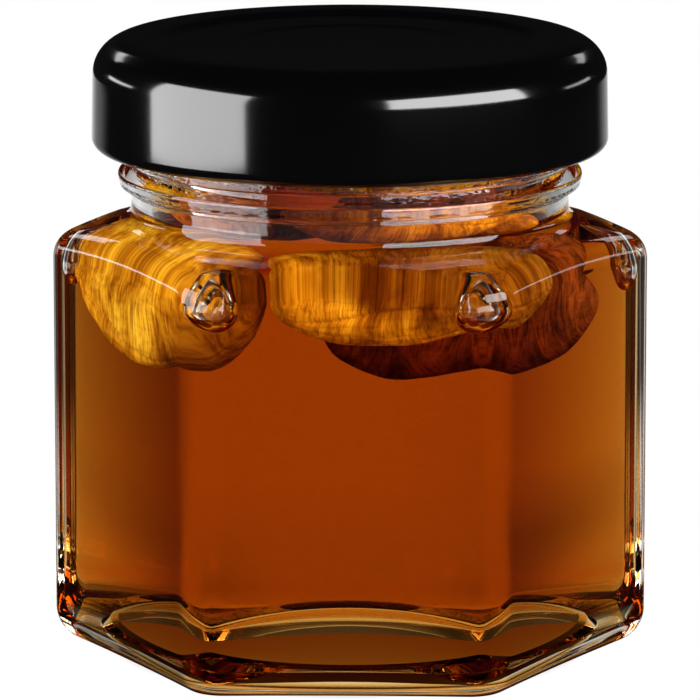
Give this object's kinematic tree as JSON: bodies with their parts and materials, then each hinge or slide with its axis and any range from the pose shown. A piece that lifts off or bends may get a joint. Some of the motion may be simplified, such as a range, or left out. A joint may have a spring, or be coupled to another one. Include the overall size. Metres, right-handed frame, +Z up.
{
  "type": "honey jar",
  "caption": "Small hexagonal clear glass jar of dark honey with almonds afloat under the neck, shut by a gloss black twist-off lid.",
  "frame": {"origin": "on the floor, under the middle of the jar's base", "axes": "+Z up through the lid; a flat side of the hexagon faces -Y and corners lie on +X and -X"},
  "size_m": [0.053, 0.0468, 0.0549],
  "materials": {
    "glass": "clear moulded soda-lime glass, smooth and glossy",
    "lid": "gloss black lacquer on tinplate",
    "honey": "clear dark amber honey",
    "almond": "honey-soaked blanched almond, golden, finely streaked",
    "almond_skin": "honey-soaked almond with its brown skin on"
  },
  "bodies": {
    "root": {"jar_glass": "glass", "lid": "lid", "honey": "honey", "almond_left": "almond", "almond_front": "almond", "almond_dark": "almond_skin", "almond_neck_right": "almond", "almond_neck_left": "almond", "almond_back_right": "almond"}
  },
  "joints": []
}
